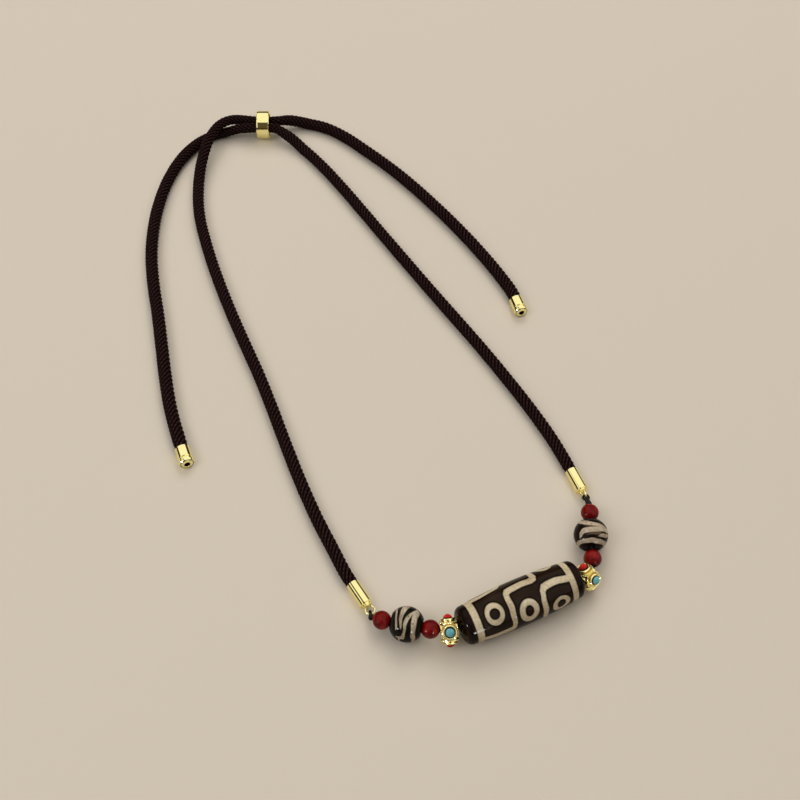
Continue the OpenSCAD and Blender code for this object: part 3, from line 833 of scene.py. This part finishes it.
def paint(node, material):
    me = nodes[node].data
    for i in range(len(me.materials)):
        me.materials[i] = material


for side in ("left", "right"):
    paint("spacer_" + side, GOLD_S)
    paint("end_cap_" + side, GOLD)
    paint("tail_cap_" + side, GOLD)
paint("slider_ring", GOLD)
paint("slider_insert", RUBBER)

# ---------------------------------------------------------------------------
# Beaded and plain wire on the spacers
# ---------------------------------------------------------------------------


def ball_template(rings, n):
    v = [(0, 0, 1)]
    for i in range(1, rings):
        a = math.pi * i / rings
        for k in range(n):
            b = 2 * math.pi * (k + 0.5 * (i % 2)) / n
            v.append((math.sin(a) * math.cos(b), math.sin(a) * math.sin(b), math.cos(a)))
    v.append((0, 0, -1))
    f = [(0, 1 + k, 1 + (k + 1) % n) for k in range(n)]
    for i in range(rings - 2):
        a, b = 1 + i * n, 1 + (i + 1) * n
        for k in range(n):
            f.append((a + k, b + k, b + (k + 1) % n, a + (k + 1) % n))
    last = len(v) - 1
    a = 1 + (rings - 2) * n
    f += [(last, a + (k + 1) % n, a + k) for k in range(n)]
    return np.array(v, float), f


def torus(major, minor, n, m2, tw=0, amp=0.0):
    a = np.linspace(0, 2 * np.pi, n, endpoint=False)[:, None]
    b = np.linspace(0, 2 * np.pi, m2, endpoint=False)[None, :]
    r = minor * (1 + amp * np.cos(2 * b - tw * a)) if tw else minor + 0 * (a + b)
    x = (major + r * np.cos(b)) * np.cos(a)
    y = (major + r * np.cos(b)) * np.sin(a)
    z = r * np.sin(b) + 0 * a
    v = np.stack([x, y, z], -1).reshape(-1, 3)
    return v, [f[::-1] for f in grid_faces(n, m2, True, True)]


def bezel_frame(bead, roll, k):
    """Rotation that stands +Z of a shape up on bezel k of a spacer."""
    a = math.radians(-(roll + 90 * k))
    rx = np.array([[1, 0, 0], [0, math.cos(a), -math.sin(a)], [0, math.sin(a), math.cos(a)]])
    return bead_matrix(bead) @ rx


def flat_ring(inner, outer, z, n=64):
    """A thin flat ring with a little thickness, so that it is closed."""
    a = np.linspace(0, 2 * np.pi, n, endpoint=False)
    rows = []
    for r, h in ((inner, z), (outer, z), (outer, z - 0.06), (inner, z - 0.06)):
        rows.append(np.stack([r * np.cos(a), r * np.sin(a), np.full(n, h)], 1))
    return np.vstack(rows), grid_faces(4, n, True, True)


class Heap:
    """Gathers the shapes of one piece."""

    def __init__(self):
        self.v, self.f, self.n = [], [], 0

    def add(self, v, f):
        self.v.append(v)
        self.f.extend([tuple(i + self.n for i in q) for q in f])
        self.n += len(v)


def spacer_trim(side, bead, roll):
    gold, dark, foot_shade = Heap(), Heap(), Heap()
    bv, bf = ball_template(7, 12)
    for k in range(4):
        R = bezel_frame(bead, roll, k)
        # granules round the base of the cup
        count = 30
        for g in range(count):
            a = 2 * math.pi * g / count
            c = np.array([2.57 * math.cos(a), 2.57 * math.sin(a), 2.74])
            gold.add((bv * 0.235 + c) @ R.T, bf)
        # the rolled lip of the cup
        v, f = torus(1.93, 0.32, 72, 16)
        gold.add((v + [0, 0, 3.62]) @ R.T, f)
        # painted shade: a dark ring in the groove round the stone, and a ring of darker gold at
        # the foot of the cup
        v, f = flat_ring(1.42, 1.60, 3.80)
        dark.add(v @ R.T, f)
        v, f = flat_ring(1.98, 2.38, 2.93)
        foot_shade.add(v @ R.T, f)
    at = np.array(bead[:3])
    make_mesh("spacer_wirework_" + side, np.vstack(gold.v) + at, gold.f, GOLD_S)
    make_mesh("spacer_groove_" + side, np.vstack(dark.v) + at, dark.f, SHADE_DARK)
    make_mesh("spacer_cup_foot_" + side, np.vstack(foot_shade.v) + at, foot_shade.f, GOLD_SHADED)


def cabochon(node, bead, roll, k, material):
    """A stone of the CAD's size: a short post with a round top."""
    rise, r, base, top = 1.15, 1.4, 3.05, 5.0
    ball = (r * r + rise * rise) / (2 * rise)
    lim = math.asin(r / ball)
    prof = [(base, 0.02), (base, r)]
    for a in np.linspace(lim, 0.02, 16):
        prof.append((top - ball * (1 - math.cos(a)), ball * math.sin(a)))
    prof = np.array(prof)
    n = 48
    v = lathe(prof, n)
    f = grid_faces(len(prof), n)
    f.append(tuple(range(n - 1, -1, -1)))
    f.append(tuple((len(prof) - 1) * n + j for j in range(n)))
    # painted shade: mask that darkens the edge of the dome and the post, where the stone meets
    # its cup
    rim = np.repeat(smoothstep((prof[:, 1] - 1.25) / 0.12), n)
    rim[:2 * n] = 1.0
    stand = np.array([[0, 0, -1.0], [0, 1.0, 0], [1.0, 0, 0]])
    R = bezel_frame(bead, roll, k) @ stand
    make_mesh(node + "_cabochon", v @ R.T + np.array(bead[:3]),
              [g[::-1] for g in f], material, [node], attrs={"rim": rim})


for name, bead, roll in (("left", SPACER_L, ROLL_L), ("right", SPACER_R, ROLL_R)):
    second, last = ("front", "top") if name == "left" else ("top", "under")
    cabochon("turquoise_%s_front" % name, bead, roll, 0, TURQ)
    cabochon("turquoise_%s_under" % name, bead, roll, 2, TURQ)
    cabochon("coral_%s_%s" % (name, second), bead, roll, 1, CORAL)
    cabochon("coral_%s_%s" % (name, last), bead, roll, 3, CORAL)

spacer_trim("left", SPACER_L, ROLL_L)
spacer_trim("right", SPACER_R, ROLL_R)


def cap_rim(name, cap, s):
    """Painted shade: a dark ring round the end face of a tail cap, standing for the shaded
    groove there.
    """
    v, f = torus(2.13, 0.12, 72, 12)
    turn = bead_matrix((0, 0, 0, cap[2], 0)) @ np.array([[0, 0, 1.0], [0, 1.0, 0], [-1.0, 0, 0]])
    # painted shade: this ring uses the near black painted shade material
    make_mesh(name, v @ turn.T + np.array(along(cap, s, TAIL_Z)), f, SHADE_DARK)


cap_rim("tail_cap_rim_left", TAIL_L, 6.7 - 0.27)
cap_rim("tail_cap_rim_right", TAIL_R, 6.7 - 0.27)

# ---------------------------------------------------------------------------
# The black thread and its wrapped knots
# ---------------------------------------------------------------------------


def hole_pt(b, s):
    return np.array([b[0] + s * cosd(b[3]) * cosd(b[4]), b[1] + s * sind(b[3]) * cosd(b[4]),
                     b[2] + s * sind(b[4])])


THREAD_PTS = (
    [hole_pt(RED_OL, s) for s in (2.3, -2.6)] + [hole_pt(ROUND_L, s) for s in (4.9, -4.9)]
    + [hole_pt(RED_IL, s) for s in (2.7, -2.7)]
    + [hole_pt(SPACER_L, 2.6), hole_pt(SPACER_L, -2.2) + [0, 0, 0.3]]
    + [BARREL + [-19.8, 0.1, -0.45], BARREL + [19.6, 0.03, -0.22]]
    + [hole_pt(SPACER_R, -2.4) + [0, 0.1, 0.52], hole_pt(SPACER_R, 2.4)]
    + [hole_pt(RED_IR, s) for s in (-2.7, 2.7)] + [hole_pt(ROUND_R, s) for s in (-4.9, 4.9)]
    + [hole_pt(RED_OR, s) for s in (-2.6, 2.3)])


def even_steps(points, step):
    p = np.asarray(points, float)
    s = np.r_[0, np.cumsum(np.linalg.norm(np.diff(p, axis=0), axis=1))]
    at = np.linspace(0, s[-1], int(s[-1] / step) + 1)
    return np.stack([np.interp(at, s, p[:, k]) for k in range(3)], 1), at


def round_corners(p, passes):
    for _ in range(passes):
        p[1:-1] = (p[:-2] + 2 * p[1:-1] + p[2:]) / 4
    return p


line_pts, line_at = even_steps(THREAD_PTS, 0.16)
line_pts = round_corners(line_pts, 4)
v, f, h, uv = ribbed_tube(line_pts, line_at, 0.46, 3, 2.1, 6, 0.09, shape=2.0)
make_mesh("bead_thread_twisted", v, f, THREAD, ["bead_thread"], uv=uv,
          attrs={"crest": h})


def wrapped_knot(name, bead, ring, out, flat, node):
    """A lead wrapped with thread, thick at the bead and thin at the ring, and
    the loop round the wire of the ring."""
    heap, crest = Heap(), []
    start = hole_pt(bead, 2.7 + 0.62)
    eye = ring + 1.475 * out
    way = eye - start
    reach = np.linalg.norm(way)
    d = way / reach
    side = np.cross([0, 0, 1.0], d)
    side /= np.linalg.norm(side)
    up = np.cross(d, side)
    total = reach - 0.9 + 0.15
    at = np.arange(0, total, 0.05)
    n = 36
    ang = np.linspace(0, 2 * np.pi, n, endpoint=False)
    t = at / total
    r = 1.02 - 0.32 * smoothstep(t * 1.05)
    r = np.minimum(r, 0.55 + 0.43 * np.sqrt(np.clip(at / 0.45, 0, 1)))
    turn = at[:, None] / 0.46 + ang[None, :] / (2 * np.pi)
    wrap = np.abs(np.sin(np.pi * turn)) ** 0.7
    rr = r[:, None] - 0.12 * (1 - wrap)
    v = start + at[:, None, None] * d \
        + (rr * np.cos(ang))[:, :, None] * side + (rr * np.sin(ang))[:, :, None] * up
    f = grid_faces(len(at), n)
    f += [tuple(range(n - 1, -1, -1)), tuple((len(at) - 1) * n + j for j in range(n))]
    heap.add(v.reshape(-1, 3), f)
    crest.append(wrap.reshape(-1))
    # the loop, of thread with a twist to it
    big, small = 90, 18
    a = np.linspace(0, 2 * np.pi, big, endpoint=False)[:, None]
    b = np.linspace(0, 2 * np.pi, small, endpoint=False)[None, :]
    ply = 0.5 + 0.5 * np.cos(3 * b - 7 * a)
    q = 0.45 - 0.08 * (1 - ply)
    ring_v = np.stack([(0.9 + q * np.cos(b)) * np.cos(a), (0.9 + q * np.cos(b)) * np.sin(a),
                       q * np.sin(b)], -1).reshape(-1, 3)
    level = np.array([d[0], d[1], 0]) / math.hypot(d[0], d[1])
    if flat:
        basis = np.stack([level, np.cross([0, 0, 1.0], level), [0, 0, 1.0]], 1)
    else:
        basis = np.stack([d, up, -side], 1)
    heap.add(ring_v @ basis.T + eye, [g[::-1] for g in grid_faces(big, small, True, True)])
    crest.append(ply.reshape(-1))
    make_mesh(name, np.vstack(heap.v), heap.f, THREAD, [node],
              attrs={"crest": np.concatenate(crest)})


away = hole_pt(RED_OL, 3.35) - RING_L
away[2] = 0
wrapped_knot("thread_knot_wrapped_left", RED_OL, RING_L, away / np.linalg.norm(away),
             False, "thread_knot_left")
wrapped_knot("thread_knot_wrapped_right", RED_OR, RING_R,
             np.array([cosd(CAP_R[2]), sind(CAP_R[2]), 0]), True, "thread_knot_right")

# ---------------------------------------------------------------------------
# Floor, light
# ---------------------------------------------------------------------------
floor_mat = Mat("floor_pale", base=(0.61, 0.535, 0.440), rough=1.0, Specular_IOR_Level=0.0)
fm = bpy.data.meshes.new("floor")
s = 30.0
fm.from_pydata([(-s, -s, 0), (s, -s, 0), (s, s, 0), (-s, s, 0)], [], [(0, 1, 2, 3)])
fm.materials.append(floor_mat.m)
floor = bpy.data.objects.new("floor", fm)
floor.location = (0, 0, -0.00003)
scene.collection.objects.link(floor)


def area(name, loc, target, size, power, color=(1, 1, 1), seen_in_gloss=True, lights=True):
    d = bpy.data.lights.new(name, "AREA")
    d.shape = "RECTANGLE"
    d.size, d.size_y = size
    d.energy = power
    d.color = color
    o = bpy.data.objects.new(name, d)
    o.location = loc
    o.rotation_mode = "QUATERNION"
    o.rotation_quaternion = (Vector(target) - Vector(loc)).to_track_quat("-Z", "Y")
    o.visible_glossy = seen_in_gloss
    o.visible_diffuse = lights
    scene.collection.objects.link(o)
    return o


# soft light for the surfaces; what shines sees the pale room and two windows
area("sky_soft", (0.1, 0.2, 2.2), (0, 0, 0), (6.0, 6.0), 111.0, (1.0, 0.99, 0.97), False)
area("key_soft", (0.55, 0.75, 1.15), (0, 0, 0), (0.9, 0.9), 7.0, (1.0, 0.97, 0.93), False)
area("fill_soft", (-0.9, -0.1, 0.9), (0, 0, 0), (0.7, 0.7), 3.5, (0.93, 0.96, 1.0), False)
area("window_left", (-1.93, -0.37, 0.33), (0, 0, 0.0), (0.21, 0.21), 27.0, (1.0, 1.0, 1.0),
     True, False)
area("window_front", (0.06, -2.0, 0.25), (0, 0, 0.0), (0.19, 0.19), 22.0, (1.0, 1.0, 1.0),
     True, False)

# The pale tent that the gold mirrors: dark where it meets the table, with a
# dark pole on the left and a dark card in front
world = bpy.data.worlds.new("studio")
world.use_nodes = True
wt = world.node_tree
bg = wt.nodes["Background"]
bg.inputs["Strength"].default_value = 1.0


def wnode(op, a, b=None):
    n = wt.nodes.new("ShaderNodeMath")
    n.operation = op
    for i, x in enumerate((a, b)):
        if x is None:
            continue
        if isinstance(x, (int, float)):
            n.inputs[i].default_value = x
        else:
            wt.links.new(x, n.inputs[i])
    return n.outputs[0]


def wstep(x, lo, hi, a=0.0, b=1.0):
    n = wt.nodes.new("ShaderNodeMapRange")
    n.interpolation_type = "SMOOTHSTEP"
    for key, value in (("From Min", lo), ("From Max", hi), ("To Min", a), ("To Max", b)):
        n.inputs[key].default_value = value
    wt.links.new(x, n.inputs["Value"])
    return n.outputs["Result"]


coord = wt.nodes.new("ShaderNodeTexCoord")
sepw = wt.nodes.new("ShaderNodeSeparateXYZ")
wt.links.new(coord.outputs["Generated"], sepw.inputs[0])
dx, dy, dz = sepw.outputs
# the dark foot of the walls reaches higher on the far side
wall = wstep(wnode("SUBTRACT", dz, wstep(dy, 0.05, 0.3, 0.0, 0.23)), 0.15, 0.22)
# the pole: a narrow band at one height over the left, on the far side
height = wnode("ARCTAN2", dz, wnode("MULTIPLY", dx, -1.0))
pole = wstep(wnode("ABSOLUTE", wnode("SUBTRACT", height, 0.98)), 0.17, 0.22, 1.0, 0.0)
pole = wnode("MULTIPLY", pole, wstep(dy, 0.05, 0.25))
aside = wnode("ADD", wnode("MULTIPLY", dx, 0.643), wnode("MULTIPLY", dy, 0.766))
pole = wnode("MULTIPLY", pole, wstep(aside, 0.0, 0.03, 1.0, 0.0))
# the card in front
ahead = wnode("ADD", wnode("MULTIPLY", dx, -0.431), wnode("MULTIPLY", dy, -0.902))
across = wnode("ABSOLUTE", wnode("ADD", wnode("MULTIPLY", dx, 0.902),
                                 wnode("MULTIPLY", dy, -0.431)))
card = wnode("MULTIPLY", wstep(ahead, 0.1, 0.25), wstep(across, 0.30, 0.38, 1.0, 0.0))
card = wnode("MULTIPLY", card, wstep(dz, 0.80, 0.87, 1.0, 0.0))
dim = wnode("MULTIPLY", wstep(pole, 0.0, 1.0, 1.0, 0.03), wstep(card, 0.0, 1.0, 1.0, 0.05))
shade = wnode("MULTIPLY", wall, dim)
# brown shadow where it is dark, a warm white where it is light
light = wt.nodes.new("ShaderNodeVectorMath")
light.operation = "SCALE"
light.inputs[0].default_value = (0.99, 0.975, 0.94)
wt.links.new(shade, light.inputs["Scale"])
tone = wt.nodes.new("ShaderNodeVectorMath")
tone.operation = "ADD"
tone.inputs[1].default_value = (0.040, 0.023, 0.004)
wt.links.new(light.outputs[0], tone.inputs[0])
wt.links.new(tone.outputs[0], bg.inputs["Color"])
world.cycles_visibility.diffuse = False
scene.world = world
scene.view_settings.view_transform = "Standard"
